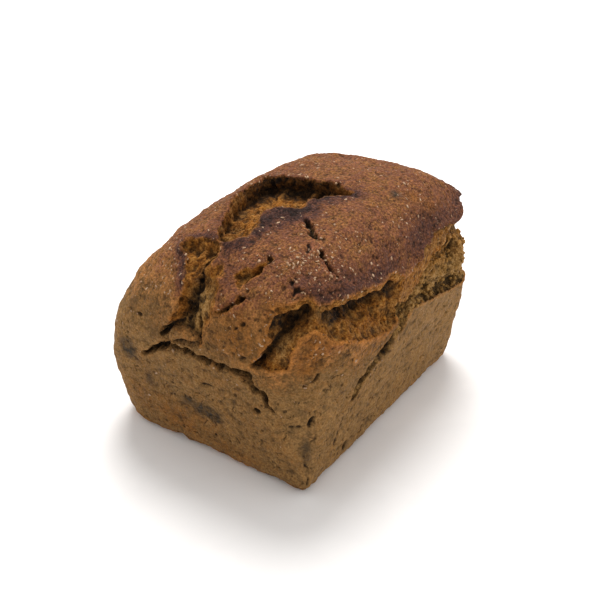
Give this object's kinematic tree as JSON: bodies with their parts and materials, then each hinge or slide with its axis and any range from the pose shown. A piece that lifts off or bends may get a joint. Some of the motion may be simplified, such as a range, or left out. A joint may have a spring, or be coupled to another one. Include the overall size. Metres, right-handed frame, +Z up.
{
  "type": "tin loaf",
  "caption": "Small dark wholegrain tin loaf with flared sides and a domed, torn top crust that has lifted clear of the crumb along one long side.",
  "frame": {"origin": "on the flat underside, below the middle of the overall box", "axes": "+X along the loaf, away from the end that has the torn end wall; +Y across it, away from the burst long side; +Z up out of the crown"},
  "size_m": [0.1392, 0.1111, 0.1014],
  "materials": {
    "rye_crust": "matt, dry baked crust: tan tin-baked walls, red-brown to nearly black top crust, orange-brown to olive crumb in the tears"
  },
  "bodies": {
    "root": {"loaf": "rye_crust"}
  },
  "joints": []
}
